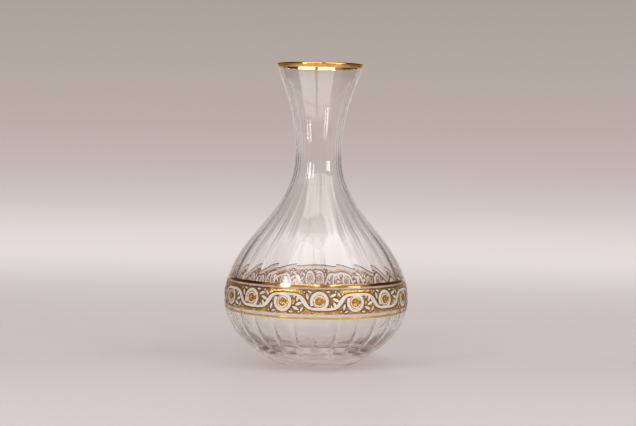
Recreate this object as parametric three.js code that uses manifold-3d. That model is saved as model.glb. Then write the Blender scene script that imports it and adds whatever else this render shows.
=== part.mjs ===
// A blown glass carafe with optic flutes inside, a gilded lip and a gilded scroll frieze.
// Millimetres, +Z up. The origin is the centre of the foot, on the surface that it stands on.
// Angles round the body start at the front, which is -Y, and grow towards +X.
import * as THREE from "three";
import { mergeVertices } from "three/addons/utils/BufferGeometryUtils.js";
import Module from "manifold-3d";

const wasm = await Module();
wasm.setup();

// Outside of the glass
const glassHeight = 249.4;
const footRadius = 33;
const bodyRadius = 76.3;
const bodyLevel = 52;
const neckRadius = 19.3;
const neckLevel = 174;
const mouthRadius = 36.3;

// Fullness of the outline: the share of a stretch over which it keeps the direction of its end
const footSpread = 0.37;
const footRise = 0.15;
const heelFullness = 0.49;
const shoulderFullness = 0.44;
const neckFullness = 0.44;
const throatFullness = 0.48;
const lipSpread = 0.5;
const lipDrop = 0.31;

// Thickness of the glass, square to its outside, and the inside of the base.
// The wall is thinnest half way up the shoulder, where the glass was blown out most.
const bodyWall = 3.4;
const shoulderWall = 2;
const thinnestWall = 0.5;
const neckWall = 2.6;
const lipWall = 1.9;
const baseThickness = 11;
const floorSpread = 0.73;
const floorFullness = 0.56;

// The foot stands on a flat ring round a shallow ground pontil mark
const footRingWidth = 16;
const pontilDepth = 1.2;

// Optic flutes inside: shallow hollows between sharp ridges, one ridge at the front.
// The start and the heel are shares of the inside's way from the axis to the widest part
const flutes = 26;
const fluteStart = 0.2;
const fluteHeel = 0.5;
const heelFluteDepth = 1.1;
const bodyFluteDepth = 0.5;
const neckFluteDepth = 0.12;
const lipFluteDepth = 0.04;

// Gilding
const gildingThickness = 0.25;
const gildingClearance = 0.3;
const rimOutsideDepth = 1.9;
const rimInsideDepth = 2.4;
const friezeLift = 7.5;
const friezeWidth = 19.8;
const upperLineGap = 1.3;
const upperLineWidth = 2.4;
const lowerLineGap = 2.4;
const lowerLineWidth = 1.6;

// The bare scroll that runs through the frieze: one stem, and a round volute in every bend
const scrollPeriods = 8;
const scrollTurn = THREE.MathUtils.degToRad(-18.5);
const stemWidth = 2;
const stemMargin = 3.1;
const stemSquareness = 2.4;
const voluteMargin = 1.9;
const voluteLead = 2.6;
const voluteSweep = THREE.MathUtils.degToRad(292);
const rosetteInset = 0.2;
const rosetteOutline = 0.6;

// Facets
const glassFacets = 3 * flutes;
const gildingFacets = 2 * flutes;
const heelSteps = 6;
const shoulderSteps = 9;
const throatSteps = 5;
const lipSteps = 3;
const stemSteps = 12;
const voluteSteps = 10;
const rosetteFacets = 12;

const glassMaterial = new THREE.MeshStandardMaterial({
  color: 0xe4dad6,
  roughness: 0.04,
  metalness: 0,
  transparent: true,
  opacity: 0.4,
});
const goldMaterial = new THREE.MeshStandardMaterial({ color: 0xd29a35, roughness: 0.22, metalness: 1 });

// Outline of the outside, in three curves from the foot to the lip
const at = (radius, level) => new THREE.Vector2(radius, level);
const bodyWidening = bodyRadius - footRadius;
const shoulderHeight = neckLevel - bodyLevel;
const throatHeight = glassHeight - neckLevel;
const lipLean = at(lipSpread * (mouthRadius - neckRadius), lipDrop * throatHeight);
const lipLevel = glassHeight - (lipWall / 2) * (1 + lipLean.x / lipLean.length());
const heelCurve = new THREE.CubicBezierCurve(
  at(footRadius, 0),
  at(footRadius + footSpread * bodyWidening, footRise * bodyLevel),
  at(bodyRadius, (1 - heelFullness) * bodyLevel),
  at(bodyRadius, bodyLevel),
);
const shoulderCurve = new THREE.CubicBezierCurve(
  at(bodyRadius, bodyLevel),
  at(bodyRadius, bodyLevel + shoulderFullness * shoulderHeight),
  at(neckRadius, neckLevel - neckFullness * shoulderHeight),
  at(neckRadius, neckLevel),
);
const throatCurve = new THREE.CubicBezierCurve(
  at(neckRadius, neckLevel),
  at(neckRadius, neckLevel + throatFullness * throatHeight),
  at(mouthRadius, lipLevel).sub(lipLean),
  at(mouthRadius, lipLevel),
);

// The inside of the base: a flat floor that rises into the wall
const innerRadius = bodyRadius - bodyWall;
const floorCurve = new THREE.CubicBezierCurve(
  at(0, baseThickness),
  at(floorSpread * innerRadius, baseThickness),
  at(innerRadius, bodyLevel - floorFullness * (bodyLevel - baseThickness)),
  at(innerRadius, bodyLevel),
);

// A ring is a circle of the surface: its radius and level, the direction that faces out of the
// glass there, and how far the flutes' ridges reach in from it.
function ringOn(curve, t) {
  const point = curve.getPoint(t);
  const tangent = curve.getTangent(t);
  return { radius: point.x, level: point.y, out: at(tangent.y, -tangent.x), ridge: 0 };
}

function ringsOn(curve, steps, first = 0) {
  const rings = [];
  for (let i = first; i <= steps; i++) rings.push(ringOn(curve, i / steps));
  return rings;
}

function offset(ring, distance) {
  return {
    ...ring,
    radius: ring.radius + ring.out.x * distance,
    level: ring.level + ring.out.y * distance,
  };
}

const outsideRings = [
  ...ringsOn(heelCurve, heelSteps),
  ...ringsOn(shoulderCurve, shoulderSteps, 1),
  ...ringsOn(throatCurve, throatSteps, 1),
];

// The ring at a level, on the flat facets between two rings of a rising surface
function ringAt(rings, level) {
  const above = rings.findIndex((ring) => ring.level > level);
  const [low, high] = [rings[above - 1], rings[above]];
  const share = (level - low.level) / (high.level - low.level);
  return {
    radius: THREE.MathUtils.lerp(low.radius, high.radius, share),
    level,
    out: low.out.clone().lerp(high.out, share).normalize(),
    ridge: THREE.MathUtils.lerp(low.ridge, high.ridge, share),
  };
}

// Inside rings lie one wall in from the outside and face the axis
function insideRing(curve, t, wall, ridge) {
  const ring = offset(ringOn(curve, t), -wall);
  return { ...ring, out: ring.out.clone().negate(), ridge };
}

function throatInside(t) {
  const wall = THREE.MathUtils.lerp(neckWall, lipWall, t);
  const ridge = THREE.MathUtils.lerp(neckFluteDepth, lipFluteDepth, t);
  return insideRing(throatCurve, t, wall, ridge);
}

const throatInsideRings = [];
for (let i = 0; i <= throatSteps; i++) throatInsideRings.push(throatInside(i / throatSteps));

function shoulderInside(t) {
  const { lerp, smoothstep } = THREE.MathUtils;
  const lowerWall = lerp(bodyWall, shoulderWall, smoothstep(t, 0, thinnestWall));
  const wall = lerp(lowerWall, neckWall, smoothstep(t, thinnestWall, 1));
  const ridge = lerp(bodyFluteDepth, neckFluteDepth, smoothstep(t, 0, 1));
  return insideRing(shoulderCurve, t, wall, ridge);
}

function floorInside(t) {
  const ring = ringOn(floorCurve, t);
  const rise = THREE.MathUtils.smoothstep(t, fluteStart, fluteHeel);
  const fall = THREE.MathUtils.smoothstep(t, fluteHeel, 1);
  const ridge = rise * THREE.MathUtils.lerp(heelFluteDepth, bodyFluteDepth, fall);
  return { ...ring, out: ring.out.clone().negate(), ridge };
}

// The lip is a half round from the outside over to the inside
function lipRings() {
  const edge = ringOn(throatCurve, 1);
  const middle = offset(edge, -lipWall / 2);
  const along = at(-edge.out.y, edge.out.x);
  const rings = [];
  for (let i = 1; i < lipSteps; i++) {
    const turn = (Math.PI * i) / lipSteps;
    const out = at(0, 0).addScaledVector(edge.out, Math.cos(turn)).addScaledVector(along, Math.sin(turn));
    const ridge = (lipFluteDepth * i) / lipSteps;
    rings.push(offset({ ...middle, out, ridge }, lipWall / 2));
  }
  return rings;
}

// Height of the flutes' ridges round the body: 1 on a ridge, falling to 0 in the hollow
function ridgeShape(angle) {
  return 1 - Math.abs(Math.sin((flutes * angle) / 2));
}

function pointOn(ring, angle) {
  const radius = ring.radius - ring.ridge * ridgeShape(angle);
  return [radius * Math.sin(angle), -radius * Math.cos(angle), ring.level];
}

// A closed surface through rings. It ends on the axis, or closes on itself as a loop.
function loft(rings, facets, isLoop) {
  const positions = [];
  const triangles = [];
  const starts = rings.map((ring) => {
    const start = positions.length / 3;
    const count = ring.radius === 0 ? 1 : facets;
    for (let i = 0; i < count; i++) positions.push(...pointOn(ring, (2 * Math.PI * i) / facets));
    return start;
  });
  const vertex = (k, i) => starts[k] + (rings[k].radius === 0 ? 0 : i % facets);
  const last = isLoop ? rings.length : rings.length - 1;
  for (let k = 0; k < last; k++) {
    const next = (k + 1) % rings.length;
    for (let i = 0; i < facets; i++) {
      const [a, b, c, d] = [vertex(k, i), vertex(k, i + 1), vertex(next, i + 1), vertex(next, i)];
      if (a !== b) triangles.push(a, b, c);
      if (c !== d) triangles.push(a, c, d);
    }
  }
  return geometryOf(positions, triangles);
}

function geometryOf(positions, triangles) {
  const geometry = new THREE.BufferGeometry();
  geometry.setAttribute("position", new THREE.Float32BufferAttribute(positions, 3));
  geometry.setIndex(triangles);
  return geometry;
}

// The carafe itself, from the pontil mark under the foot, up the outside, over the lip and down
function carafeGlass() {
  const axisRing = (level) => ({ radius: 0, level, out: at(0, 0), ridge: 0 });
  const pontilRing = { radius: footRadius - footRingWidth, level: 0, out: at(0, -1), ridge: 0 };
  const inside = throatInsideRings.slice(1).reverse();
  for (let i = shoulderSteps; i > 0; i--) inside.push(shoulderInside(i / shoulderSteps));
  for (let i = heelSteps; i > 0; i--) inside.push(floorInside(i / heelSteps));
  const section = [
    axisRing(pontilDepth),
    pontilRing,
    ...outsideRings,
    ...lipRings(),
    ...inside,
    axisRing(baseThickness),
  ];
  return loft(section, glassFacets, false);
}

// A gilded skin over a run of the glass's surface
function gild(rings) {
  const face = rings.map((ring) => offset(ring, gildingClearance + gildingThickness));
  const back = rings.map((ring) => offset(ring, gildingClearance));
  return loft([...face, ...back.reverse()], gildingFacets, true);
}

function ringsFrom(rings, bottom) {
  return [ringAt(rings, bottom), ...rings.filter((ring) => ring.level > bottom)];
}

function gildedBand(bottom, top) {
  const below = ringsFrom(outsideRings, bottom).filter((ring) => ring.level < top);
  return gild([...below, ringAt(outsideRings, top)]);
}

function rimGilding() {
  const outside = ringsFrom(outsideRings, lipLevel - rimOutsideDepth);
  const inside = ringsFrom(throatInsideRings, lipLevel - rimInsideDepth).reverse();
  return gild([...outside, ...lipRings(), ...inside]);
}

// The frieze lies round the widest part, between two lines
const friezeLevel = bodyLevel + friezeLift;
const friezeTop = friezeLevel + friezeWidth / 2;
const friezeBottom = friezeLevel - friezeWidth / 2;

function upperLine() {
  const bottom = friezeTop + upperLineGap;
  return gildedBand(bottom, bottom + upperLineWidth);
}

function lowerLine() {
  const top = friezeBottom - lowerLineGap;
  return gildedBand(top - lowerLineWidth, top);
}

// The scroll is drawn flat, as a distance round the body and a level, and cut out of the
// gilding as solids that stand square to the glass.
const period = (2 * Math.PI * bodyRadius) / scrollPeriods;
const stemSwing = friezeWidth / 2 - stemMargin - stemWidth / 2;
const voluteRadius = (stemSwing + friezeWidth / 2 - voluteMargin - stemWidth / 2) / 2;
const rosetteRadius = voluteRadius - stemWidth / 2 - rosetteInset;
const cutFrom = neckRadius;
const cutTo = bodyRadius + gildingClearance + 2 * gildingThickness;

function wrapped(along, level, radius) {
  const angle = scrollTurn + along / bodyRadius;
  return [radius * Math.sin(angle), -radius * Math.cos(angle), level];
}

// The stem runs level over one volute, drops, and runs level under the next
function stemPath(share) {
  const bend = share * scrollPeriods;
  const wave = Math.tanh(stemSquareness * Math.cos(2 * Math.PI * bend)) / Math.tanh(stemSquareness);
  return at(bend * period, friezeLevel + stemSwing * wave);
}

// Even volutes hang from a crest of the stem, odd ones stand on a trough
const voluteSide = (index) => (index % 2 ? -1 : 1);

function voluteCentre(index) {
  const along = (index * period) / 2 - voluteLead;
  return at(along, friezeLevel + voluteSide(index) * (stemSwing - voluteRadius));
}

function voluteArc(index) {
  const centre = voluteCentre(index);
  return (share) => {
    const turn = Math.PI / 2 - voluteSweep * share;
    const rise = voluteSide(index) * voluteRadius * Math.sin(turn);
    return at(centre.x + voluteRadius * Math.cos(turn), centre.y + rise);
  };
}

// A strip of the stem's width along a flat path, which ends or closes on itself
function strip(path, steps, isLoop) {
  const positions = [];
  const triangles = [];
  const sections = isLoop ? steps : steps + 1;
  const corners = [[1, cutFrom], [-1, cutFrom], [-1, cutTo], [1, cutTo]];
  for (let i = 0; i < sections; i++) {
    const point = path(i / steps);
    const across = path((i + 0.5) / steps).sub(path((i - 0.5) / steps)).setLength(stemWidth / 2);
    for (const [side, radius] of corners) {
      positions.push(...wrapped(point.x - side * across.y, point.y + side * across.x, radius));
    }
  }
  for (let i = 0; i < steps; i++) {
    const next = (i + 1) % sections;
    for (let side = 0; side < 4; side++) {
      const turned = (side + 1) % 4;
      const [a, b, c, d] = [4 * i + side, 4 * i + turned, 4 * next + turned, 4 * next + side];
      triangles.push(a, c, b, a, d, c);
    }
  }
  const end = 4 * steps;
  if (!isLoop) triangles.push(0, 1, 2, 0, 2, 3, end, end + 2, end + 1, end, end + 3, end + 2);
  return solidOf(geometryOf(positions, triangles));
}

// A round post through the gilding at the middle of a volute
function post(index, radius) {
  const centre = voluteCentre(index);
  const circle = new THREE.Shape().absarc(centre.x, centre.y, radius, 0, 2 * Math.PI);
  const extruded = new THREE.ExtrudeGeometry(circle, {
    depth: cutTo - cutFrom,
    curveSegments: rosetteFacets / 2,
    bevelEnabled: false,
  });
  extruded.deleteAttribute("normal");
  extruded.deleteAttribute("uv");
  const geometry = mergeVertices(extruded);
  const position = geometry.attributes.position;
  for (let i = 0; i < position.count; i++) {
    const radius = cutFrom + position.getZ(i);
    position.setXYZ(i, ...wrapped(position.getX(i), position.getY(i), radius));
  }
  return solidOf(geometry);
}

function solidOf(geometry) {
  return new wasm.Manifold(
    new wasm.Mesh({
      numProp: 3,
      vertProperties: geometry.attributes.position.array,
      triVerts: new Uint32Array(geometry.index.array),
    }),
  );
}

function geometryFrom(solid) {
  const { vertProperties, triVerts } = solid.getMesh();
  return geometryOf(Array.from(vertProperties), Array.from(triVerts));
}

const carafe = new THREE.Group();

function addPiece(name, geometry, material) {
  const mesh = new THREE.Mesh(geometry, material);
  mesh.name = name;
  carafe.add(mesh);
}

addPiece("carafe_glass", carafeGlass(), glassMaterial);
addPiece("rim_gilding", rimGilding(), goldMaterial);
addPiece("upper_gold_line", upperLine(), goldMaterial);
addPiece("lower_gold_line", lowerLine(), goldMaterial);

const friezeField = solidOf(gildedBand(friezeBottom, friezeTop));
let scroll = strip(stemPath, scrollPeriods * stemSteps, true);
for (let index = 0; index < 2 * scrollPeriods; index++) {
  const rosette = friezeField.intersect(post(index, rosetteRadius));
  addPiece(`rosette_${String(index + 1).padStart(2, "0")}`, geometryFrom(rosette), goldMaterial);
  scroll = scroll.add(strip(voluteArc(index), voluteSteps, false));
  scroll = scroll.add(post(index, rosetteRadius + rosetteOutline));
}

// The scroll parts the rest of the field in two: what lies over the stem and what lies under it
const grounds = friezeField.subtract(scroll).decompose();
grounds.sort((a, b) => b.boundingBox().max[2] - a.boundingBox().max[2]);
addPiece("frieze_upper_ground", geometryFrom(grounds[0]), goldMaterial);
addPiece("frieze_lower_ground", geometryFrom(grounds[1]), goldMaterial);

export default carafe;
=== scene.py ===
"""The dressed carafe: blown glass with optic flutes, a gilded lip and a gilded, etched frieze.

Metres, +Z up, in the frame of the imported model. Angles round the body start at the front (-Y) and
grow towards +X. The outline and the scroll follow the same formulas as the model's own solids.
Colours are written as the 0 to 255 numbers of a picture and turned linear by srgb().
"""

import math

import bpy
import numpy as np
from mathutils import Matrix, Vector


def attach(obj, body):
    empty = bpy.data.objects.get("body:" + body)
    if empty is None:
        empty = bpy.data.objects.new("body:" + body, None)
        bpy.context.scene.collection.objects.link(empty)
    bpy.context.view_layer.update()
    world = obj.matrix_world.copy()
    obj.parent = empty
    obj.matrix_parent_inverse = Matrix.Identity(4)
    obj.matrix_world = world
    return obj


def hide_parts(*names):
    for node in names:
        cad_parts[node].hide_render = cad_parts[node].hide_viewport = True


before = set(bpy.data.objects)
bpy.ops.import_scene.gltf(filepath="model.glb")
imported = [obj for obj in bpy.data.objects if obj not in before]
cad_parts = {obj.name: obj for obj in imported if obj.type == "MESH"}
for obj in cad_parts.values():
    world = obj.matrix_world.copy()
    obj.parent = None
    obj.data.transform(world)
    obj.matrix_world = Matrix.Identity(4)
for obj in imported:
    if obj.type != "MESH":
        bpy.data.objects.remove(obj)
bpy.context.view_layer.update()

MM = 0.001

# Outside of the glass
GLASS_HEIGHT = 0.2494
FOOT_RADIUS = 0.033
BODY_RADIUS = 0.0763
BODY_LEVEL = 0.052
NECK_RADIUS = 0.0193
NECK_LEVEL = 0.174
MOUTH_RADIUS = 0.0363
FOOT_SPREAD = 0.37
FOOT_RISE = 0.15
HEEL_FULLNESS = 0.49
SHOULDER_FULLNESS = 0.44
NECK_FULLNESS = 0.44
THROAT_FULLNESS = 0.48
LIP_SPREAD = 0.5
LIP_DROP = 0.31

# Walls, base and foot
BODY_WALL = 0.0034
SHOULDER_WALL = 0.002
NECK_WALL = 0.0026
LIP_WALL = 0.0019
LIP_THINNING = 0.0004
THINNING_SHARES = (0.7, 0.82)  # of the throat's curve: full from the first, less from the second
BASE_THICKNESS = 0.011
FLOOR_SPREAD = 0.73
FLOOR_FULLNESS = 0.56
FOOT_RING_WIDTH = 0.016
FOOT_EDGE = 0.0008
FOOT_CLEARANCE = 0.0001
PONTIL_DEPTH = 0.0012

# Optic flutes
FLUTES = 26
FLUTE_START = 0.2
FLUTE_HEEL = 0.62
HEEL_FLUTE_DEPTH = 0.0011
BODY_FLUTE_DEPTH = 0.0005
NECK_FLUTE_DEPTH = 0.00012
LIP_FLUTE_DEPTH = 0.00004
HEEL_RIDGE_POWER = 3.6
FACETS_PER_FLUTE = 12
OUTSIDE_STEPS = (36, 52, 32)  # rings over the heel, the shoulder and the throat
SURFACE_STEPS = (240, 360, 240)  # the same, where the outside is looked up at a level
INSIDE_STEPS = (30, 48, 36)  # rings down the throat, the shoulder and the floor
LIP_STEPS = 9

# Gilding: a film whose back lies a little inside the surface of the glass
FILM_BACK = -0.00003
FILM_EDGE = 0.00004
RIM_FILM = 0.00042
LINE_FILM = 0.00022
GROUND_FILM = 0.00034
GROUND_SLOPE = 0.0007
RIM_OUTSIDE_DEPTH = 0.0019
RIM_INSIDE_DEPTH = 0.0024
FRIEZE_LEVEL = BODY_LEVEL + 0.0075
FRIEZE_WIDTH = 0.0198
UPPER_LINE_GAP = 0.0013
UPPER_LINE_WIDTH = 0.0024
LOWER_LINE_GAP = 0.0024
LOWER_LINE_WIDTH = 0.0016
FRIEZE_TOP = FRIEZE_LEVEL + FRIEZE_WIDTH / 2
FRIEZE_BOTTOM = FRIEZE_LEVEL - FRIEZE_WIDTH / 2
UPPER_LINE_BOTTOM = FRIEZE_TOP + UPPER_LINE_GAP
LOWER_LINE_TOP = FRIEZE_BOTTOM - LOWER_LINE_GAP

# Etched glass: a still thinner film, held a little off the gold
HAZE_FILM = 0.00004
HAZE_INSET = 0.00003
EDGE_HAZE_FILM = 0.00006
EDGE_HAZE_INSET = 0.00012

# Bands round the body, and how far their edges stray where a brush left them
BAND_FACETS = 480
LINE_STEPS = 16
EDGE_HAZE_STEPS = 6
RIM_STEPS = (8, 10, 40)  # outside, over the lip and inside
RIM_REACH = 0.8  # share of the throat's curve down to which the rim's inside is looked for
LINE_WAVER = 0.00012
RIM_WAVER = 0.00016
EDGE_HAZE_WAVER = 0.00004
BRUSH_BEATS = range(3, 40)
BRUSH_POWER = 0.7
TONE_EDGE = 0.64
TONE_FALL = 0.1
SHARP_EDGE = math.radians(50)

# The scroll
SCROLL_PERIODS = 8
SCROLL_TURN = math.radians(-18.5)
STEM_WIDTH = 0.002
STEM_MARGIN = 0.0031
STEM_SQUARENESS = 2.4
STEM_SWELL = 0.0012
STEM_POINTS = 360
VOLUTE_MARGIN = 0.0019
VOLUTE_LEAD = 0.0026
VOLUTE_SWEEP = math.radians(292)
ROSETTE_INSET = 0.0002
PERIOD = 2 * math.pi * BODY_RADIUS / SCROLL_PERIODS
STEM_SWING = FRIEZE_WIDTH / 2 - STEM_MARGIN - STEM_WIDTH / 2
VOLUTE_RADIUS = (STEM_SWING + FRIEZE_WIDTH / 2 - VOLUTE_MARGIN - STEM_WIDTH / 2) / 2
ROSETTE_RADIUS = VOLUTE_RADIUS - STEM_WIDTH / 2 - ROSETTE_INSET
RING_HALF = 0.00105
RING_SHIFT = 0.0001
RING_TIP = 1.5 * RING_HALF
RING_OPEN = 0.002  # the ring's field where the ring is open
ROSETTE_GAP = 0.0002
GROOVE_HALF = 0.00018
FRIEZE_COLUMNS = 1440
FRIEZE_ROWS = 60
CUT_SHARE = 0.06  # a cut keeps this share of a grid line's length from either end
FAR = 1.0  # a field before anything is drawn in it

# Engraved lines, and a brown line of painted shade just under the frieze's top (the last): the
# distance of the middle from the edge, and the half width
OUTLINE = (0.0004, 0.0005)
BACK_OUTLINE = (0.00055, 0.0008)
SHADE_BORDER = (0.0005, 0.0004)
# How dark the lines are; the first also sets the darkness of the line of painted shade
LINE_DARKNESS = 0.95
BACK_ENGRAVING = 0.98

# A rosette. A pair is the middle and the half width of a ring, in shares of the radius
ROSETTE_CELLS = 44
ROSETTE_GRID = 2.1 * ROSETTE_RADIUS
ROSETTE_TURN = 0.7
ROSETTE_ENGRAVING = 0.8
ROSETTE_RIM = (0.93, 0.06)
ROSETTE_RIM_HEIGHT = 0.0002
PETALS = 8
PETAL_POWER = 0.7
PETAL_RING = (0.5, 0.3)
PETAL_HEIGHT = 0.00038
TRENCH_RING = (0.6, 0.07)
BOSS_REACH = 0.2
BOSS_HEIGHT = 0.00045
BACK_TONE = 0.6
BACK_EDGE = 0.8
BACK_EDGE_WIDTH = 0.12
HALO_RADIUS = 0.75 * ROSETTE_RADIUS
HALO_HALF = 0.1 * ROSETTE_RADIUS
HALO_MOUTH = 0.3 * ROSETTE_RADIUS

# Leaves and berries in each bend of the stem, in millimetres and degrees. A leaf: across and up
# from the bend, turn, length, width. A berry: across, up, radius
LEAVES = (
    (7.2, 4.4, 84, 4.4, 1.4),
    (10.0, 2.6, 66, 6.0, 2.2),
    (10.8, -1.6, 24, 6.0, 2.4),
    (8.4, -5.2, -24, 6.4, 2.3),
    (4.6, -8.0, -4, 4.0, 1.4),
    (-12.3, -4.2, 78, 5.8, 2.0),
    (-10.4, -7.8, 24, 4.0, 1.4),
    (13.4, -5.8, 60, 4.8, 1.8),
)
BERRIES = ((12.8, 1.4, 0.7), (10.8, -8.0, 0.7), (-14.8, -7.6, 0.7), (-13.6, 0.4, 0.6))

# The camera that the photograph was taken with
CAMERA_DISTANCE = 1.3
CAMERA_HEIGHT = 0.2045
CAMERA_AIM = (0.0004, 0.1253)
CAMERA_ROLL = math.radians(1.04)
FOCAL_PIXELS = 1560
IMAGE_WIDTH = 636
SENSOR_WIDTH = 36

# Soft lamps: angle round the front, width, low and high edge, radiance. Each edge is a distance
# from the axis and a height over the middle of the carafe
CARAFE_MIDDLE = 0.12
LAMP_COLOUR = (1.0, 0.985, 0.965)
SOFTBOXES = {
    "softbox_left": (-22, 0.98, (1.0, 0.46), (0.8, 2.2), 1.88),
    "softbox_right": (46, 1.04, (1.0, 0.46), (0.86, 2.5), 1.88),
    "lamp_left": (-41, 0.24, (1.45, 0.23), (1.25, 0.7), 9.0),
    "lamp_right": (50, 0.36, (1.45, 0.18), (1.36, 0.46), 8.0),
}

# The backdrop and the room round the camera: colours at heights in degrees over the horizon
BACKDROP = (
    (-14, (224, 215, 212)),
    (-6, (226, 217, 214)),
    (-4.65, (229, 220, 217)),
    (-3.9, (221, 211, 207)),
    (-3.2, (210, 199, 195)),
    (-1.7, (195, 182, 178)),
    (-0.2, (187, 174, 169)),
    (4.5, (172, 160, 154)),
    (12, (190, 180, 175)),
    (24, (204, 195, 191)),
    (42, (200, 191, 187)),
    (65, (170, 160, 155)),
)
ROOM = (
    (-14, (190, 178, 172)),
    (-3, (170, 158, 150)),
    (6, (162, 150, 142)),
    (13, (126, 115, 108)),
    (20, (90, 72, 63)),
    (30, (72, 54, 45)),
    (65, (62, 49, 42)),
)
HORIZON = (229, 220, 217)
RAMP_SCALE = 0.8  # a direction of height z is at 0.8 z + 0.2 on both ramps
RAMP_SHIFT = 0.2
FILL_COLOUR = (0.96, 0.93, 0.91, 1)
FILL_STRENGTH = 0.25

# Where parts of the world begin and are full, in degrees round from the camera's side, or as the
# height of a direction
ROOM_SIDES = (52.0, 78.0)
ROOM_SIDE_SHARE = 0.85
WALL_SIDES = (80.0, 68.0)
WALL_HEIGHTS = (0.24, 0.34)
WING_SIDES = (175.0, 163.0)
WING_SHARE = 0.95
BACKDROP_SIDES = (91.0, 113.0)
BACKDROP_RETREAT = 50.0
UNDER_HORIZON = (0.0, -0.06)

# The table. Its fade into the horizon goes by the distance behind the carafe's axis. The glow it
# fades into is painted light that brightens the table towards the back, and more where it is seen
# through the glass
TABLE_RADIUS = 1.2
TABLE_FACETS = 128
TABLE_FADE = (
    (0.0, 0.0), (0.1, 0.2), (0.24, 0.3), (0.4, 0.42), (0.6, 0.63), (0.73, 0.82), (0.95, 1.0),
)
# Where the table turns lighter towards the camera, which is painted light
TABLE_FRONT_LIGHT = (0.12, -0.16)
TABLE_EDGE = (0.7, 1.15)
TABLE_SIDES = (0.3, 0.62)
# Painted light: how much brighter the table's glow is where it is seen through the glass
BENT_GLOW = 0.15

BOUNCES = 48


def bezier(points, t):
    """Points and directions of a cubic curve of (radius, level) at the shares t."""
    a, b, c, d = (np.array(p, float) for p in points)
    t = np.asarray(t, float)[:, None]
    u = 1 - t
    place = u**3 * a + 3 * u**2 * t * b + 3 * u * t**2 * c + t**3 * d
    heading = 3 * u**2 * (b - a) + 6 * u * t * (c - b) + 3 * t**2 * (d - c)
    return place, heading / np.linalg.norm(heading, axis=1)[:, None]


SHOULDER_HEIGHT = NECK_LEVEL - BODY_LEVEL
THROAT_HEIGHT = GLASS_HEIGHT - NECK_LEVEL
LIP_LEAN = np.array((LIP_SPREAD * (MOUTH_RADIUS - NECK_RADIUS), LIP_DROP * THROAT_HEIGHT))
LIP_LEVEL = GLASS_HEIGHT - LIP_WALL / 2 * (1 + LIP_LEAN[0] / np.linalg.norm(LIP_LEAN))
INNER_RADIUS = BODY_RADIUS - BODY_WALL

HEEL_CURVE = (
    (FOOT_RADIUS, 0),
    (FOOT_RADIUS + FOOT_SPREAD * (BODY_RADIUS - FOOT_RADIUS), FOOT_RISE * BODY_LEVEL),
    (BODY_RADIUS, (1 - HEEL_FULLNESS) * BODY_LEVEL),
    (BODY_RADIUS, BODY_LEVEL),
)
SHOULDER_CURVE = (
    (BODY_RADIUS, BODY_LEVEL),
    (BODY_RADIUS, BODY_LEVEL + SHOULDER_FULLNESS * SHOULDER_HEIGHT),
    (NECK_RADIUS, NECK_LEVEL - NECK_FULLNESS * SHOULDER_HEIGHT),
    (NECK_RADIUS, NECK_LEVEL),
)
THROAT_CURVE = (
    (NECK_RADIUS, NECK_LEVEL),
    (NECK_RADIUS, NECK_LEVEL + THROAT_FULLNESS * THROAT_HEIGHT),
    (MOUTH_RADIUS - LIP_LEAN[0], LIP_LEVEL - LIP_LEAN[1]),
    (MOUTH_RADIUS, LIP_LEVEL),
)
FLOOR_CURVE = (
    (0, BASE_THICKNESS),
    (FLOOR_SPREAD * INNER_RADIUS, BASE_THICKNESS),
    (INNER_RADIUS, BODY_LEVEL - FLOOR_FULLNESS * (BODY_LEVEL - BASE_THICKNESS)),
    (INNER_RADIUS, BODY_LEVEL),
)


def smooth(t):
    """Eases from 0 to 1 as t does, and stays there."""
    t = np.clip(t, 0, 1)
    return t * t * (3 - 2 * t)


def rings(curve, t):
    """Rings on a curve: columns of radius, level, and the direction out of the glass."""
    place, heading = bezier(curve, t)
    return np.column_stack((place, heading[:, 1], -heading[:, 0]))


def moved(run, distance):
    """The rings moved along their outward direction."""
    run = run.copy()
    run[:, :2] += run[:, 2:4] * np.reshape(distance, (-1, 1))
    return run


def outside_rings(heel, shoulder, throat):
    return np.vstack((
        rings(HEEL_CURVE, np.linspace(0, 1, heel + 1)),
        rings(SHOULDER_CURVE, np.linspace(0, 1, shoulder + 1)[1:]),
        rings(THROAT_CURVE, np.linspace(0, 1, throat + 1)[1:]),
    ))


def throat_inside(t):
    """Rings inside the throat, whose wall is a little thinner under the lip."""
    full, less = THINNING_SHARES
    thinning = LIP_THINNING * smooth(t / full) * (1 - smooth((t - less) / (1 - less)))
    return moved(rings(THROAT_CURVE, t), -(NECK_WALL + (LIP_WALL - NECK_WALL) * t - thinning))


def lip_rings(steps):
    """The half round of the lip, from the outside over to the inside."""
    edge = rings(THROAT_CURVE, [1.0])
    middle = moved(edge, -LIP_WALL / 2)[0]
    out = edge[0, 2:4]
    along = np.array((-out[1], out[0]))
    turn = np.pi * np.arange(1, steps) / steps
    way = np.cos(turn)[:, None] * out + np.sin(turn)[:, None] * along
    return np.column_stack((middle[:2] + way * LIP_WALL / 2, way))


SURFACE = outside_rings(*SURFACE_STEPS)


def surface_at(level):
    """Radius of the outside at a level, and its outward direction."""
    heights = SURFACE[:, 1]
    return [np.interp(level, heights, SURFACE[:, k]) for k in (0, 2, 3)]


def round_body(angle, radius, level):
    """Points in space at an angle round the axis."""
    angle, radius, level = np.broadcast_arrays(angle, radius, level)
    return np.stack((radius * np.sin(angle), -radius * np.cos(angle), level), axis=-1)


def on_surface(along, level, lift):
    """Flat places, a distance round the body and a level, wrapped on the glass and lifted."""
    radius, out_radius, out_level = surface_at(level)
    angle = SCROLL_TURN + along / BODY_RADIUS
    return round_body(angle, radius + lift * out_radius, level + lift * out_level)


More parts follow.
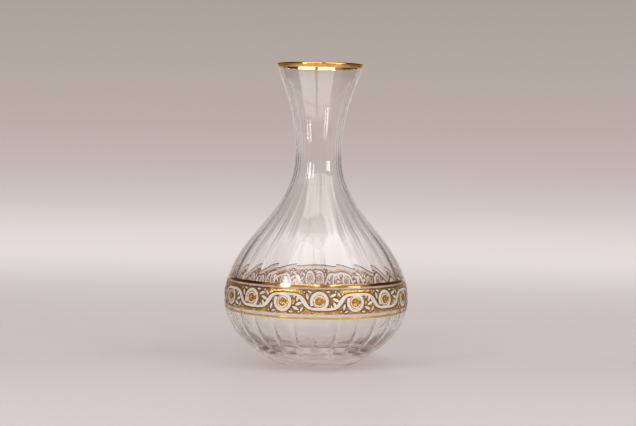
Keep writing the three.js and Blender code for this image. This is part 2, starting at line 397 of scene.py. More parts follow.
def make_object(name, vertices, faces, materials, slots=None, sharp_angle=None):
    mesh = bpy.data.meshes.new(name)
    mesh.from_pydata(np.asarray(vertices).tolist(), [], faces)
    for material in materials:
        mesh.materials.append(material)
    mesh.polygons.foreach_set("use_smooth", [True] * len(mesh.polygons))
    if slots is not None:
        mesh.polygons.foreach_set("material_index", slots)
    if sharp_angle is not None:
        mesh.set_sharp_from_angle(angle=sharp_angle)
    mesh.update()
    thing = bpy.data.objects.new(name, mesh)
    bpy.context.scene.collection.objects.link(thing)
    return thing


def ring_faces(low, high, facets):
    """Faces between two rings of points, given by the number of each ring's first point."""
    faces = []
    for i in range(facets):
        j = (i + 1) % facets
        faces.append((low + i, low + j, high + j, high + i))
    return faces


def piece(thing, slot, *nodes):
    """Makes an object a piece of the carafe, in place of CAD nodes where any are named."""
    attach(thing, "root")
    if nodes:
        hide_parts(*nodes)
    return thing


def add_value(thing, name, values):
    thing.data.attributes.new(name, "FLOAT", "POINT").data.foreach_set("value", values)


class Nodes:
    """A short way to write a node tree."""

    def __init__(self, tree):
        self.tree = tree
        tree.nodes.clear()

    def put(self, socket, value):
        """Gives a socket a link or a value."""
        if isinstance(value, bpy.types.Node):
            value = value.outputs[0]
        if isinstance(value, bpy.types.NodeSocket):
            self.tree.links.new(value, socket)
        else:
            socket.default_value = value

    def add(self, kind, inputs=None, **settings):
        node = self.tree.nodes.new("ShaderNode" + kind)
        for name, value in settings.items():
            setattr(node, name, value)
        for name, value in (inputs or {}).items():
            self.put(node.inputs[name], value)
        return node

    def math(self, operation, a, b=0.0, clamp=False):
        return self.add("Math", {0: a, 1: b}, operation=operation, use_clamp=clamp)

    def span(self, value, low, high, to_low=0.0, to_high=1.0):
        """Goes from to_low to to_high as the value goes from low to high, and stays there."""
        limits = {"From Min": low, "From Max": high, "To Min": to_low, "To Max": to_high}
        return self.add("MapRange", {"Value": value, **limits})

    def ramp(self, value, stops, interpolation="EASE"):
        node = self.add("ValToRGB", {0: value})
        ramp = node.color_ramp
        ramp.interpolation = interpolation
        while len(ramp.elements) < len(stops):
            ramp.elements.new(1.0)
        for element, (position, colour) in zip(ramp.elements, stops):
            element.position = position
            element.color = (*colour, 1)
        return node.outputs[0]

    def height_ramp(self, height, stops):
        """Colours over the height of a direction."""
        return self.ramp(height, [
            (RAMP_SCALE * math.sin(math.radians(degrees)) + RAMP_SHIFT, srgb(*colour))
            for degrees, colour in stops
        ], "LINEAR")

    def mix(self, factor, a, b):
        node = self.add("Mix", data_type="RGBA")
        for index, value in ((0, factor), (6, a), (7, b)):
            self.put(node.inputs[index], value)
        return node.outputs[2]


def srgb(red, green, blue):
    """A linear colour from the 0 to 255 numbers of a picture."""
    return tuple(
        c / 12.92 if c <= 0.04045 else ((c + 0.055) / 1.055) ** 2.4
        for c in (red / 255, green / 255, blue / 255)
    )


def solid(red, green, blue):
    return srgb(red, green, blue) + (1,)


def new_material(name):
    material = bpy.data.materials.new(name)
    material.use_nodes = True
    return material, Nodes(material.node_tree)


def glass_material():
    """Clear lead glass, faintly wavy from the blowing, which dims what is seen through it a little.
    Lamps shine through it."""
    material, nodes = new_material("blown_glass")
    place = nodes.add("TexCoord").outputs["Object"]
    swirl = nodes.add("TexNoise", {"Vector": place, "Scale": 22.0, "Detail": 2.0})
    seeds = nodes.add("TexNoise", {"Vector": place, "Scale": 140.0, "Detail": 3.0})
    bump = nodes.add("Bump", {"Height": swirl, "Strength": 0.25, "Distance": 0.0004})
    tint = nodes.ramp(swirl, [(0.3, (0.985, 0.978, 0.972)), (0.7, (0.995, 0.992, 0.99))])
    shader = nodes.add("BsdfPrincipled", {
        "Base Color": tint,
        "Roughness": nodes.math("MULTIPLY", seeds, 0.02),
        "IOR": 1.52,
        "Transmission Weight": 1.0,
        "Normal": bump,
    })
    clear = nodes.add("BsdfTransparent", {"Color": (0.93, 0.91, 0.9, 1)})
    lamp_ray = nodes.add("LightPath").outputs["Is Shadow Ray"]
    mixed = nodes.add("MixShader", {0: lamp_ray, 1: shader, 2: clear})
    depth = nodes.add("VolumeAbsorption", {"Color": (0.9, 0.885, 0.87, 1), "Density": 11.0})
    nodes.add("OutputMaterial", {"Surface": mixed, "Volume": depth})
    return material


def gold_material(name, light, deep, roughness, stipple, engraved=False, inside=None):
    """Fired gold: light where it is thick and burnished, deep where it is thin. Where the tone is
    low, engraved gold is brown, and gold with an inside colour has that colour. Engraved gold also
    has brown, less metallic spots of painted shade in patches."""
    material, nodes = new_material(name)
    place = nodes.add("TexCoord").outputs["Object"]
    cloud = nodes.add("TexNoise", {"Vector": place, "Scale": 160.0, "Detail": 4.0})
    grain = nodes.add("TexNoise", {"Vector": place, "Scale": 900.0, "Detail": 2.0})
    colour = nodes.ramp(cloud, [(0.32, srgb(*deep)), (0.68, srgb(*light))])
    metallic = 1.0
    if inside:
        tone = nodes.add("Attribute", attribute_name="tone").outputs["Fac"]
        colour = nodes.mix(tone, solid(*inside), colour)
    if engraved:
        tone = nodes.add("Attribute", attribute_name="tone").outputs["Fac"]
        # Painted shade: brown, less metallic spots in patches stand in for dark reflections in the
        # relief
        dots = nodes.add("TexVoronoi", {"Vector": place, "Scale": 620.0})
        shade_spots = nodes.span(dots.outputs["Distance"], 0.24, 0.4)
        shade_patches = nodes.span(cloud, 0.44, 0.52)
        unshaded = nodes.math("MAXIMUM", shade_spots, nodes.math("SUBTRACT", 1.0, shade_patches))
        bright = nodes.math("MULTIPLY", tone, unshaded)
        colour = nodes.mix(bright, solid(52, 18, 4), colour)
        metallic = nodes.math("ADD", nodes.math("MULTIPLY", bright, 0.45), 0.3)
    bump = nodes.add("Bump", {"Height": grain, "Strength": stipple, "Distance": 0.0004})
    shader = nodes.add("BsdfPrincipled", {
        "Base Color": colour,
        "Metallic": metallic,
        "Roughness": nodes.span(grain, 0.3, 0.7, roughness * 0.75, roughness * 1.3),
        "Normal": bump,
    })
    nodes.add("OutputMaterial", {"Surface": shader})
    return material


def gold_back_material(name, light, deep):
    """The back of the gold, on the etched glass: pale and satin, brown where its tone is low."""
    material, nodes = new_material(name)
    place = nodes.add("TexCoord").outputs["Object"]
    cloud = nodes.add("TexNoise", {"Vector": place, "Scale": 260.0, "Detail": 3.0})
    pale = nodes.ramp(cloud, [(0.3, srgb(*deep)), (0.7, srgb(*light))])
    tone = nodes.add("Attribute", attribute_name="tone").outputs["Fac"]
    shader = nodes.add("BsdfPrincipled", {
        "Base Color": nodes.mix(tone, solid(122, 42, 14), pale),
        "Metallic": nodes.math("MULTIPLY", tone, 0.3),
        "Roughness": 0.38,
    })
    nodes.add("OutputMaterial", {"Surface": shader})
    return material


def frosted_material(name, light, deep, clearness):
    """Etched glass: a fine white haze to whoever looks from outside, and clear from inside."""
    material, nodes = new_material(name)
    place = nodes.add("TexCoord").outputs["Object"]
    grain = nodes.add("TexNoise", {"Vector": place, "Scale": 700.0, "Detail": 3.0})
    bump = nodes.add("Bump", {"Height": grain, "Strength": 0.3, "Distance": 0.0002})
    inside = nodes.add("NewGeometry").outputs["Backfacing"]
    shader = nodes.add("BsdfPrincipled", {
        "Base Color": nodes.ramp(grain, [(0.3, srgb(*deep)), (0.7, srgb(*light))]),
        "Roughness": nodes.math("SUBTRACT", 0.5, nodes.math("MULTIPLY", inside, 0.4)),
        "IOR": 1.12,
        "Transmission Weight": nodes.math("MAXIMUM", inside, clearness),
        "Normal": bump,
    })
    nodes.add("OutputMaterial", {"Surface": shader})
    return material


def shoulder_inside(t):
    """Rings inside the shoulder, thinnest half way up, and the depth of the flutes."""
    wall = BODY_WALL + (SHOULDER_WALL - BODY_WALL) * smooth(2 * t)
    wall += (NECK_WALL - SHOULDER_WALL) * smooth(2 * t - 1)
    ridge = BODY_FLUTE_DEPTH + (NECK_FLUTE_DEPTH - BODY_FLUTE_DEPTH) * smooth(t)
    return moved(rings(SHOULDER_CURVE, t), -wall), ridge


def floor_inside(t):
    """Rings over the floor, the depth of the flutes, and the power that narrows their ridges."""
    rise = smooth((t - FLUTE_START) / (FLUTE_HEEL - FLUTE_START))
    fall = smooth((t - FLUTE_HEEL) / (1 - FLUTE_HEEL))
    ridge = rise * (HEEL_FLUTE_DEPTH + (BODY_FLUTE_DEPTH - HEEL_FLUTE_DEPTH) * fall)
    return rings(FLOOR_CURVE, t), ridge, HEEL_RIDGE_POWER + (1 - HEEL_RIDGE_POWER) * fall


def blown_glass(material):
    """The glass itself: smooth outside, fluted inside, with a thick base and a pontil mark."""
    facets = FLUTES * FACETS_PER_FLUTE
    foot = np.array([
        (FOOT_RADIUS - FOOT_RING_WIDTH, FOOT_CLEARANCE),
        (FOOT_RADIUS - FOOT_EDGE, FOOT_CLEARANCE),
    ])
    outer = outside_rings(*OUTSIDE_STEPS)
    outer[0, :2] = (FOOT_RADIUS + FOOT_EDGE / 3, FOOT_CLEARANCE + FOOT_EDGE / 3)
    lip = lip_rings(LIP_STEPS)
    lip_ridge = LIP_FLUTE_DEPTH * np.arange(1, LIP_STEPS) / LIP_STEPS
    throat_t, shoulder_t, floor_t = (np.linspace(1, 0, steps + 1) for steps in INSIDE_STEPS)
    throat = throat_inside(throat_t)
    throat_ridge = LIP_FLUTE_DEPTH + (NECK_FLUTE_DEPTH - LIP_FLUTE_DEPTH) * (1 - throat_t)
    shoulder, shoulder_ridge = shoulder_inside(shoulder_t[1:])
    floor, floor_ridge, floor_power = floor_inside(floor_t[1:-1])
    profile = np.vstack([foot] + [run[:, :2] for run in (outer, lip, throat, shoulder, floor)])
    smooth_rings = len(foot) + len(outer)
    ridge = np.concatenate((
        np.zeros(smooth_rings), lip_ridge, throat_ridge, shoulder_ridge, floor_ridge
    ))
    power = np.concatenate((np.ones(len(profile) - len(floor)), floor_power))
    angle = 2 * np.pi * np.arange(facets) / facets
    shape = 1 - np.abs(np.sin(FLUTES * angle / 2))
    radius = profile[:, :1] - ridge[:, None] * shape[None, :] ** power[:, None]
    points = round_body(angle[None, :], radius, profile[:, 1:2]).reshape(-1, 3)
    under, over = len(points), len(points) + 1
    points = np.vstack((points, ((0, 0, PONTIL_DEPTH),), ((0, 0, BASE_THICKNESS),)))
    faces = []
    for k in range(len(profile) - 1):
        faces += ring_faces(k * facets, (k + 1) * facets, facets)
    top = (len(profile) - 1) * facets
    for i in range(facets):
        j = (i + 1) % facets
        faces.append((under, j, i))
        faces.append((top + i, top + j, over))
    thing = make_object("blown_glass", points, faces, [material])
    mark_ridges(thing.data, facets, smooth_rings + len(lip), len(profile))
    return piece(thing, "glass", "carafe_glass")


def mark_ridges(mesh, facets, first, last):
    """Marks as sharp the foot's inner edge, and the flutes' ridges from ring first up to last."""
    edges = np.empty(2 * len(mesh.edges), int)
    mesh.edges.foreach_get("vertices", edges)
    edges = edges.reshape(-1, 2)
    ring, column = edges // facets, edges % facets
    along = (column[:, 0] == column[:, 1]) & (column[:, 0] % FACETS_PER_FLUTE == 0)
    sharp = along & (ring.min(axis=1) >= first) & (ring.max(axis=1) < last)
    foot_edge = (ring[:, 0] == ring[:, 1]) & (ring[:, 0] < 1)
    marks = mesh.attributes.new("sharp_edge", "BOOLEAN", "EDGE")
    marks.data.foreach_set("value", sharp | foot_edge)


def brushed_edge(angle, draw):
    """How far an edge strays on its way round the body, as a brush leaves it."""
    wave = np.zeros(len(angle))
    for beat in BRUSH_BEATS:
        size = draw.normal() / beat**BRUSH_POWER
        wave += size * np.sin(beat * angle + draw.uniform(0, 2 * np.pi))
    return wave


def closed_band(name, section_face, section_back, materials, waver, seed):
    """A closed film round the body from the runs of rings of its face and back. Its tone falls to 0
    before the end of its section, which is the top of a line and the inside of the lip."""
    angle = 2 * np.pi * np.arange(BAND_FACETS) / BAND_FACETS
    draw = np.random.default_rng(seed)
    first_wave, last_wave = (brushed_edge(angle, draw) * (waver / 2) for _ in range(2))
    run = np.vstack((section_face, section_back[::-1]))
    share = np.concatenate((
        np.linspace(0, 1, len(section_face)), np.linspace(1, 0, len(section_back))
    ))
    shift = first_wave * (1 - share[:, None]) + last_wave * share[:, None]
    radius = run[:, :1] - shift * run[:, 3:4]
    level = run[:, 1:2] + shift * run[:, 2:3]
    points = round_body(angle[None, :], radius, level).reshape(-1, 3)
    faces = []
    slots = []
    for k in range(len(run)):
        faces += ring_faces(k * BAND_FACETS, (k + 1) % len(run) * BAND_FACETS, BAND_FACETS)
        on_face = k < len(section_face) - 1
        slots += [0 if on_face else len(materials) - 1] * BAND_FACETS
    thing = make_object(name, points, faces, materials, slots, SHARP_EDGE)
    tone = 1 - smooth((share - TONE_EDGE) / TONE_FALL)
    add_value(thing, "tone", np.repeat(tone, BAND_FACETS))
    return thing


def film(run, thickness, crown=4):
    """The face and the back of a film on a run of rings. A crown of 1 rounds it from edge to edge,
    and a larger one keeps it flat between rounded edges."""
    share = np.linspace(0, 1, len(run))
    edge = np.clip(np.minimum(share, 1 - share) * 2 * crown, 0, 1)
    bulge = np.sqrt(1 - (1 - edge) ** 2)
    return moved(run, FILM_EDGE + (thickness - FILM_EDGE) * bulge), moved(run, FILM_BACK)


def level_rings(bottom, top, steps):
    level = np.linspace(bottom, top, steps + 1)
    radius, out_radius, out_level = surface_at(level)
    return np.column_stack((radius, level, out_radius, out_level))


def gilded_line(name, node, bottom, width, materials, seed):
    face, back = film(level_rings(bottom, bottom + width, LINE_STEPS), LINE_FILM)
    thing = closed_band(name, face, back, materials, LINE_WAVER, seed)
    return piece(thing, "gilding", node)


def etched_band(name, bottom, top, material, seed):
    """The etched glass between the frieze and a line."""
    run = level_rings(bottom + EDGE_HAZE_INSET, top - EDGE_HAZE_INSET, EDGE_HAZE_STEPS)
    face, back = film(run, EDGE_HAZE_FILM)
    return piece(closed_band(name, face, back, [material], EDGE_HAZE_WAVER, seed), "glass")


def rim_gilding(material, seed):
    """The gilding from the outside of the lip, over its edge, to the inside."""
    outer_steps, lip_steps, inner_steps = RIM_STEPS
    outer = level_rings(LIP_LEVEL - RIM_OUTSIDE_DEPTH, LIP_LEVEL, outer_steps)
    inner = throat_inside(np.linspace(1, RIM_REACH, inner_steps))
    inner[:, 2:4] *= -1
    inner = inner[inner[:, 1] > LIP_LEVEL - RIM_INSIDE_DEPTH]
    face, back = film(np.vstack((outer, lip_rings(lip_steps), inner)), RIM_FILM, crown=5)
    thing = closed_band("lip_gold", face, back, [material], RIM_WAVER, seed)
    return piece(thing, "gilding", "rim_gilding")


def stem_level(bend):
    """Level of the stem's centre line at a share of its period."""
    wave = np.tanh(STEM_SQUARENESS * np.cos(2 * np.pi * bend)) / math.tanh(STEM_SQUARENESS)
    return FRIEZE_LEVEL + STEM_SWING * wave


def stem_field(along, level):
    """Distance to the edge of the stem, which swells where it runs steep. Negative inside."""
    bend = np.arange(STEM_POINTS) / STEM_POINTS
    place = np.column_stack((bend * PERIOD, stem_level(bend)))
    step = np.roll(place, -1, axis=0) - np.roll(place, 1, axis=0)
    step[:, 0] = 2 * PERIOD / STEM_POINTS
    steep = np.abs(step[:, 1]) / np.linalg.norm(step, axis=1)
    place = np.vstack((place - (PERIOD, 0), place, place + (PERIOD, 0)))
    half = STEM_WIDTH / 2 + STEM_SWELL * np.tile(steep, 3) ** 3
    field = np.full(along.shape, FAR)
    for (x, y), width in zip(place, half):
        np.minimum(field, np.hypot(along - x, level - y) - width, out=field)
    return field


def volute_side(index):
    """1 for a volute that hangs from a crest of the stem, -1 for one that stands on a trough."""
    return -1 if index % 2 else 1


def volute_centre(index):
    side = volute_side(index)
    return index * PERIOD / 2 - VOLUTE_LEAD, FRIEZE_LEVEL + side * (STEM_SWING - VOLUTE_RADIUS)


def volute_field(along, level, index):
    """A ring that leaves the stem at its top or bottom, sweeps round and stops short of it."""
    x, y = volute_centre(index)
    x, y = along - x, volute_side(index) * (level - y)
    reach = np.hypot(x, y)
    turn = (math.pi / 2 - np.arctan2(y, x)) % (2 * math.pi)
    ring = np.abs(reach - VOLUTE_RADIUS - RING_SHIFT) - RING_HALF
    end = math.pi / 2 - VOLUTE_SWEEP
    tip = np.hypot(x - VOLUTE_RADIUS * math.cos(end), y - VOLUTE_RADIUS * math.sin(end)) - RING_TIP
    ring = np.where(turn < VOLUTE_SWEEP, ring, np.minimum(tip, RING_OPEN))
    groove = np.abs(reach - ROSETTE_RADIUS - ROSETTE_GAP) - GROOVE_HALF
    return np.minimum.reduce((ring, groove, halo_field(x, y)))


def halo_field(x, y):
    """Negative in the etched arc inside a rosette, which is open on one side."""
    ring = np.abs(np.hypot(x, y) - HALO_RADIUS) - HALO_HALF
    return np.maximum(ring, np.minimum(x, HALO_MOUTH - np.abs(y)))


def leaf_field(along, level):
    """Leaves as pointed ovals, and berries, in every bend of the stem."""
    field = np.full(along.shape, FAR)
    for index in range(-1, 3):
        side = volute_side(index)
        x, y = along - index * PERIOD / 2, side * (level - FRIEZE_LEVEL)
        for leaf_x, leaf_y, turn, length, width in LEAVES:
            c, s = math.cos(math.radians(turn)), math.sin(math.radians(turn))
            u = (x - leaf_x * MM) * c + (y - leaf_y * MM) * s
            v = -(x - leaf_x * MM) * s + (y - leaf_y * MM) * c
            half, thick = length * MM / 2, width * MM / 2
            arc = (half**2 + thick**2) / (2 * thick)
            np.minimum(field, np.hypot(u, np.abs(v) + arc - thick) - arc, out=field)
        for berry_x, berry_y, size in BERRIES:
            reach = np.hypot(x - berry_x * MM, y - berry_y * MM)
            np.minimum(field, reach - size * MM, out=field)
    return field


def cut_sheet(field):
    """The cells of a grid where a field is negative, cut along its zero line.

    The first axis runs round the body. Returns places in grid units, and faces.
    """
    columns, rows = field.shape
    inside = field < 0
    places = [(i, j) for i in range(columns) for j in range(rows)]
    crossings = {}
    faces = []

    def corner(i, j):
        return i * rows + j

    def crossing(a, b):
        key = (a, b) if a < b else (b, a)
        if key not in crossings:
            (i, j), (k, m) = key
            share = field[i, j] / (field[i, j] - field[k, m])
            share = min(max(share, CUT_SHARE), 1 - CUT_SHARE)
            crossings[key] = len(places)
            places.append((i + share * (k - i), j + share * (m - j)))
        return crossings[key]

    full = inside[:-1, :-1] & inside[1:, :-1] & inside[1:, 1:] & inside[:-1, 1:]
    some = inside[:-1, :-1] | inside[1:, :-1] | inside[1:, 1:] | inside[:-1, 1:]
    for i, j in np.argwhere(some):
        i, j = int(i), int(j)
        if full[i, j]:
            faces.append((corner(i, j), corner(i + 1, j), corner(i + 1, j + 1), corner(i, j + 1)))
            continue
        around = ((i, j), (i + 1, j), (i + 1, j + 1), (i, j + 1))
        face = []
        for a, b in zip(around, around[1:] + around[:1]):
            if inside[a]:
                face.append(corner(*a))
            if inside[a] != inside[b]:
                face.append(crossing(a, b))
        faces.append(tuple(face))
    return np.array(places, float), faces


def join_ends(places, faces, columns):
    """The faces, with the corners on the last column swapped for the same ones on the first."""
    first = {round(j, 6): index for index, (i, j) in enumerate(places) if i == 0}
    last = {round(j, 6): index for index, (i, j) in enumerate(places) if i == columns - 1}
    swap = {index: first[j] for j, index in last.items() if j in first}
    return [tuple(swap.get(v, v) for v in face) for face in faces]


def sheet_object(name, field, to_flat, relief, materials, wraps):
    """A closed film over the cells where a field is negative, with relief on its face. A field
    that wraps round the body ends with its first column again."""
    places, faces = cut_sheet(field)
    if wraps:
        faces = join_ends(places, faces, len(field))
    used = sorted({v for face in faces for v in face})
    number = {v: n for n, v in enumerate(used)}
    faces = [tuple(number[v] for v in face) for face in faces]
    along, level = to_flat(places[used])
    count = len(used)
    lift, face_tone, back_tone = relief(along, level)
    face_points = on_surface(along, level, lift)
    back_points = on_surface(along, level, np.full(count, FILM_BACK))
    directed = {(a, b) for face in faces for a, b in zip(face, face[1:] + face[:1])}
    walls = [(b, a, a + count, b + count) for a, b in directed if (b, a) not in directed]
    walls.sort()
    backs = [tuple(v + count for v in reversed(face)) for face in faces]
    slots = [0] * (len(faces) + len(walls)) + [len(materials) - 1] * len(backs)
    points = np.vstack((face_points, back_points))
    thing = make_object(name, points, faces + walls + backs, materials, slots, SHARP_EDGE)
    add_value(thing, "tone", np.concatenate((face_tone, back_tone)))
    return thing


def flat_of_grid(places):
    """Flat places of points in grid units: the frieze's rows, with one more on either side."""
    along = places[:, 0] * (SCROLL_PERIODS * PERIOD / FRIEZE_COLUMNS)
    level = FRIEZE_LEVEL + (places[:, 1] - 1 - FRIEZE_ROWS / 2) * FRIEZE_WIDTH / FRIEZE_ROWS
    return along, level


def frieze_grid():
    """Flat places of the grid round the whole body, its last column on its first."""
    columns, rows = FRIEZE_COLUMNS + 1, FRIEZE_ROWS + 3
    places = np.indices((columns, rows)).reshape(2, -1).T
    along, level = flat_of_grid(places)
    return along.reshape(columns, rows), level.reshape(columns, rows)


def etched_field():
    """Negative where the frieze is bare etched glass, over the whole grid, with its flat places.
    It is worked out over one period and repeated."""
    along, level = frieze_grid()
    period = FRIEZE_COLUMNS // SCROLL_PERIODS
    part_along, part_level = along[:period], level[:period]
    part = stem_field(part_along, part_level)
    for index in range(-1, 3):
        np.minimum(part, volute_field(part_along, part_level, index), out=part)
    part = np.minimum(part, leaf_field(part_along, part_level))
    return np.vstack([part] * SCROLL_PERIODS + [part[:1]]), along, level


def sample(field, along, level):
    """The field between the points of the grid."""
    i = along / (SCROLL_PERIODS * PERIOD / FRIEZE_COLUMNS)
    j = (level - FRIEZE_LEVEL) / (FRIEZE_WIDTH / FRIEZE_ROWS) + 1 + FRIEZE_ROWS / 2
    i0 = np.clip(i.astype(int), 0, field.shape[0] - 2)
    j0 = np.clip(j.astype(int), 0, field.shape[1] - 2)
    u, v = i - i0, j - j0
    return (
        field[i0, j0] * (1 - u) * (1 - v)
        + field[i0 + 1, j0] * u * (1 - v)
        + field[i0, j0 + 1] * (1 - u) * v
        + field[i0 + 1, j0 + 1] * u * v
    )


def soft_line(distance, middle, half):
    """1 in the middle of a line, fading to either side."""
    return np.exp(-(((distance - middle) / half) ** 2))


def hump(distance, middle, half):
    """1 in the middle of a ring, and 0 from its edges on."""
    return smooth(1 - np.abs(distance - middle) / half)


def ground_relief(etched):
    """Gold ground: raised a little away from the scroll, with engraved lines along the scroll and a
    brown line of painted shade just under the frieze's top."""

    def relief(along, level):
        depth = sample(etched, along, level)
        edge = np.minimum(depth, FRIEZE_WIDTH / 2 - np.abs(level - FRIEZE_LEVEL))
        lift = FILM_EDGE + (GROUND_FILM - FILM_EDGE) * smooth(edge / GROUND_SLOPE)
        # Painted shade: a brown line just under the frieze's top, darkened together with the
        # engraved lines
        lines = np.maximum(soft_line(depth, *OUTLINE), soft_line(FRIEZE_TOP - level, *SHADE_BORDER))
        back_lines = soft_line(depth, *BACK_OUTLINE)
        return lift, 1 - LINE_DARKNESS * lines, 1 - BACK_ENGRAVING * back_lines

    return relief


def haze_relief(along, level):
    """The even, faint film that stands for etched glass."""
    plain = np.ones(along.shape)
    return HAZE_FILM * plain, plain, plain


def rosette(index, materials):
    """A round flower of gold: petals about a boss, in a raised rim."""
    x, y = volute_centre(index)
    pitch = ROSETTE_GRID / ROSETTE_CELLS
    line = (np.arange(ROSETTE_CELLS + 1) - ROSETTE_CELLS / 2) * pitch
    u, v = np.meshgrid(line, line, indexing="ij")
    field = np.maximum(np.hypot(u, v) - ROSETTE_RADIUS, -halo_field(u, v))

    def to_flat(places):
        across, up = ((places - ROSETTE_CELLS / 2) * pitch).T
        return x + across, y + up

    def relief(along, level):
        u, v = along - x, level - y
        reach = np.hypot(u, v) / ROSETTE_RADIUS
        turn = np.arctan2(v, u) + ROSETTE_TURN * index
        petal = np.abs(np.cos(PETALS / 2 * turn)) ** PETAL_POWER
        ring = hump(reach, *PETAL_RING)
        lift = FILM_EDGE + PETAL_HEIGHT * ring * petal
        lift += ROSETTE_RIM_HEIGHT * soft_line(reach, *ROSETTE_RIM)
        lift += BOSS_HEIGHT * smooth(1 - reach / BOSS_REACH)
        engraved = np.maximum(hump(reach, *TRENCH_RING), (1 - petal) * ring)
        back_tone = BACK_TONE - BACK_TONE * smooth((reach - BACK_EDGE) / BACK_EDGE_WIDTH)
        return lift, 1 - ROSETTE_ENGRAVING * engraved, back_tone

    thing = sheet_object(f"rosette_gold_{index + 1:02d}", field, to_flat, relief, materials, False)
    return piece(thing, "gilding", f"rosette_{index + 1:02d}")


def frieze(gold, haze):
    """The frieze: two gold grounds, the rosettes and the etched scroll. Each pair of materials is
    for the face and the back."""
    etched, along, level = etched_field()
    band = np.abs(level - FRIEZE_LEVEL) - FRIEZE_WIDTH / 2
    over = stem_level(along / PERIOD) - level
    discs = np.full(along.shape, FAR)
    for index in range(2 * SCROLL_PERIODS + 1):
        x, y = volute_centre(index)
        np.minimum(discs, np.hypot(along - x, level - y) - ROSETTE_RADIUS - ROSETTE_GAP, out=discs)
    bare = np.minimum(etched, discs)
    relief = ground_relief(etched)
    for half, side in (("upper", over), ("lower", -over)):
        field = np.maximum.reduce((band, -bare, side))
        ground = sheet_object(f"{half}_ground_gold", field, flat_of_grid, relief, gold, True)
        piece(ground, "gilding", f"frieze_{half}_ground")
    for index in range(2 * SCROLL_PERIODS):
        rosette(index, gold)
    field = np.maximum(band, etched + HAZE_INSET)
    scroll = sheet_object("etched_scroll", field, flat_of_grid, haze_relief, haze, True)
    piece(scroll, "glass")


def add_camera():
    camera = bpy.data.objects.new("camera", bpy.data.cameras.new("camera"))
    place = Vector((0, -CAMERA_DISTANCE, CAMERA_HEIGHT))
    forward = (Vector((CAMERA_AIM[0], 0, CAMERA_AIM[1])) - place).normalized()
    right = forward.cross(Vector((0, 0, 1))).normalized()
    up = right.cross(forward)
    c, s = math.cos(CAMERA_ROLL), math.sin(CAMERA_ROLL)
    right, up = right * c + up * s, up * c - right * s
    turn = Matrix((right, up, -forward)).transposed().to_4x4()
    camera.matrix_world = Matrix.Translation(place) @ turn
    camera.data.sensor_width = SENSOR_WIDTH
    camera.data.lens = FOCAL_PIXELS * SENSOR_WIDTH / IMAGE_WIDTH
    camera.data.clip_start = 0.05
    camera.data.clip_end = 50
    bpy.context.scene.collection.objects.link(camera)
    bpy.context.scene.camera = camera


def add_softbox(name, azimuth, width, low_edge, high_edge, radiance):
    """A soft lamp that leans over the carafe at an angle round the front, from its low edge to its
    high one."""
    azimuth = math.radians(azimuth)
    out = Vector((math.sin(azimuth), -math.cos(azimuth), 0))
    middle = Vector((0, 0, CARAFE_MIDDLE))
    low, high = (middle + out * far + Vector((0, 0, up)) for far, up in (low_edge, high_edge))
    across = Vector((-out.y, out.x, 0))
    along = (high - low).normalized()
    lamp = bpy.data.lights.new(name, "AREA")
    lamp.shape = "RECTANGLE"
    lamp.size = width
    lamp.size_y = (high - low).length
    lamp.energy = radiance * math.pi * lamp.size * lamp.size_y
    lamp.color = LAMP_COLOUR
    thing = bpy.data.objects.new(name, lamp)
    turn = Matrix((across, along, across.cross(along))).transposed().to_4x4()
    thing.matrix_world = Matrix.Translation((low + high) / 2) @ turn
    thing.visible_camera = False
    bpy.context.scene.collection.objects.link(thing)


def add_world():
    """A pale backdrop that darkens upwards. The room round the camera is dimmer: gold and glass
    mirror it, and glass bends it into its own edges."""
    world = bpy.data.worlds.new("studio")
    bpy.context.scene.world = world
    world.use_nodes = True
    nodes = Nodes(world.node_tree)
    way = nodes.add("SeparateXYZ", {0: nodes.add("TexCoord").outputs["Generated"]}).outputs
    path = nodes.add("LightPath").outputs
    camera, glossy = path["Is Camera Ray"], path["Is Glossy Ray"]
    up = nodes.math("MULTIPLY", way["Z"], RAMP_SCALE)
    up = nodes.math("ADD", up, RAMP_SHIFT, clamp=True)
    backdrop = nodes.height_ramp(up, BACKDROP)
    room = nodes.height_ramp(up, ROOM)
    south = nodes.math("MULTIPLY", way["Y"], -1.0)
    azimuth = nodes.math("ABSOLUTE", nodes.math("ARCTAN2", way["X"], south))
    degrees = nodes.math("MULTIPLY", azimuth, 180 / math.pi)
    below = nodes.span(way["Z"], *UNDER_HORIZON)

    # The room is darker to the sides. High up behind the camera is a light wall, for mirrors only
    beside = nodes.span(degrees, *ROOM_SIDES)
    beside = nodes.math("MULTIPLY", beside, nodes.math("SUBTRACT", 1.0, below))
    dimmed = nodes.mix(beside, room, nodes.mix(ROOM_SIDE_SHARE, room, solid(40, 28, 22)))
    wall = nodes.span(degrees, *WALL_SIDES)
    wall = nodes.math("MULTIPLY", wall, nodes.span(way["Z"], *WALL_HEIGHTS))
    wall = nodes.math("MULTIPLY", wall, glossy)
    dimmed = nodes.mix(wall, dimmed, solid(160, 132, 102))

    # To all but the camera the backdrop has light, even wings. It reaches less far round for
    # mirrors and under the horizon
    wings = nodes.span(degrees, *WING_SIDES, to_high=WING_SHARE)
    wings = nodes.math("MULTIPLY", wings, nodes.math("SUBTRACT", 1.0, camera))
    winged = nodes.mix(wings, backdrop, solid(224, 215, 211))
    retreat = nodes.math("MULTIPLY", nodes.math("MAXIMUM", below, glossy), BACKDROP_RETREAT)
    behind = nodes.span(nodes.math("SUBTRACT", degrees, retreat), *BACKDROP_SIDES)
    seen = nodes.mix(nodes.math("MAXIMUM", behind, camera), dimmed, winged)

    shown = nodes.math("ADD", camera, glossy)
    shown = nodes.math("ADD", shown, path["Is Transmission Ray"], clamp=True)
    fill = nodes.add("Background", {"Color": FILL_COLOUR, "Strength": FILL_STRENGTH})
    view = nodes.add("Background", {"Color": seen, "Strength": 1.0})
    nodes.add("OutputWorld", {"Surface": nodes.add("MixShader", {0: shown, 1: fill, 2: view})})


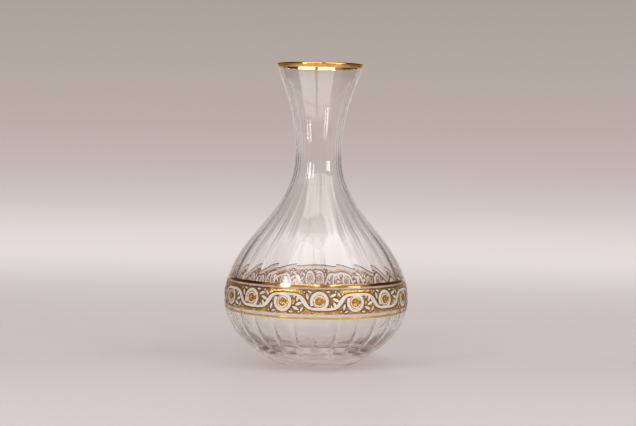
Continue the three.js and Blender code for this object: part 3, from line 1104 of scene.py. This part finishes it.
def add_floor():
    """A round table top that fades into the backdrop through a glow of painted light, which is
    brighter where it is seen through the glass. Towards the camera the table is lighter, which is
    painted light too. To mirrored and bent rays its sides are dark."""
    material, nodes = new_material("table")
    place = nodes.add("NewGeometry").outputs["Position"]
    reach = nodes.add("VectorMath", {0: place}, operation="LENGTH").outputs["Value"]
    parts = nodes.add("SeparateXYZ", {0: place}).outputs
    path = nodes.add("LightPath").outputs
    bent = path["Is Transmission Ray"]
    grain = nodes.add("TexNoise", {"Vector": place, "Scale": 400.0, "Detail": 3.0})
    paint_and_front_light = nodes.ramp(grain, [(0.3, srgb(228, 219, 218)), (0.7, srgb(233, 225, 224))])
    # Painted light: the table is lighter towards the camera
    paint_and_front_light = nodes.mix(nodes.span(parts["Y"], *TABLE_FRONT_LIGHT), paint_and_front_light, solid(239, 230, 230))
    paper = nodes.add("BsdfPrincipled", {
        "Base Color": paint_and_front_light, "Roughness": 0.45, "Specular IOR Level": 0.3,
    })
    # Painted light: a glow that takes over the table towards the back, brighter to rays bent
    # through the glass
    strength = nodes.math("ADD", nodes.math("MULTIPLY", bent, BENT_GLOW), 1.0)
    glow = nodes.add("Emission", {"Color": solid(*HORIZON), "Strength": strength})
    sweep = nodes.ramp(parts["Y"], [(y, (grey,) * 3) for y, grey in TABLE_FADE], "LINEAR")
    fade = nodes.math("MAXIMUM", nodes.span(reach, *TABLE_EDGE), sweep)
    share = nodes.math("ADD", nodes.math("MULTIPLY", fade, path["Is Camera Ray"]),
                       nodes.math("MULTIPLY", sweep, bent))
    lit = nodes.add("MixShader", {0: share, 1: paper, 2: glow})
    dark = nodes.add("Emission", {"Color": solid(118, 108, 100), "Strength": 1.0})
    side = nodes.span(nodes.math("ABSOLUTE", parts["X"]), *TABLE_SIDES)
    side = nodes.math("MULTIPLY", side, nodes.math("MAXIMUM", bent, path["Is Glossy Ray"]))
    nodes.add("OutputMaterial", {"Surface": nodes.add("MixShader", {0: side, 1: lit, 2: dark})})
    angle = 2 * np.pi * np.arange(TABLE_FACETS) / TABLE_FACETS
    edge = TABLE_RADIUS * np.column_stack((np.cos(angle), np.sin(angle), np.zeros(TABLE_FACETS)))
    make_object("table", edge, [tuple(range(TABLE_FACETS))], [material])


scene = bpy.context.scene
scene.view_settings.view_transform = "Standard"
for kind in ("max_bounces", "transmission_bounces", "glossy_bounces"):
    setattr(scene.cycles, kind, BOUNCES)
add_camera()
add_world()
add_floor()
for lamp_name, settings in SOFTBOXES.items():
    add_softbox(lamp_name, *settings)

back_gold = gold_back_material("gold_back", (255, 230, 196), (228, 170, 112))
line_back = gold_back_material("line_back", (255, 250, 246), (250, 240, 232))
lip_gold = gold_material(
    "lip_gold", (252, 202, 112), (238, 178, 88), 0.07, 0.02, inside=(252, 228, 176)
)
pale_gold = gold_material("upper_line_gold", (250, 214, 150), (234, 188, 118), 0.09, 0.05)
line_gold = gold_material("lower_line_gold", (246, 206, 112), (226, 178, 84), 0.12, 0.08)
ground_gold = gold_material(
    "frieze_gold", (252, 212, 126), (198, 144, 66), 0.13, 0.8, engraved=True
)
etched_glass = frosted_material("etched_glass", (255, 246, 238), (250, 238, 228), 0.42)
edge_glass = frosted_material("etched_edge", (252, 248, 250), (244, 238, 240), 0.86)
clear_glass = frosted_material("etched_back", (255, 250, 248), (252, 246, 243), 0.97)

blown_glass(glass_material())
rim_gilding(lip_gold, 5)
gilded_line(
    "upper_line_gold", "upper_gold_line", UPPER_LINE_BOTTOM, UPPER_LINE_WIDTH,
    [pale_gold, line_back], 7
)
gilded_line(
    "lower_line_gold", "lower_gold_line", LOWER_LINE_TOP - LOWER_LINE_WIDTH, LOWER_LINE_WIDTH,
    [line_gold, line_back], 9
)
frieze([ground_gold, back_gold], [etched_glass, clear_glass])
etched_band("etched_edge_upper", FRIEZE_TOP, UPPER_LINE_BOTTOM, edge_glass, 11)
etched_band("etched_edge_lower", LOWER_LINE_TOP, FRIEZE_BOTTOM, edge_glass, 13)
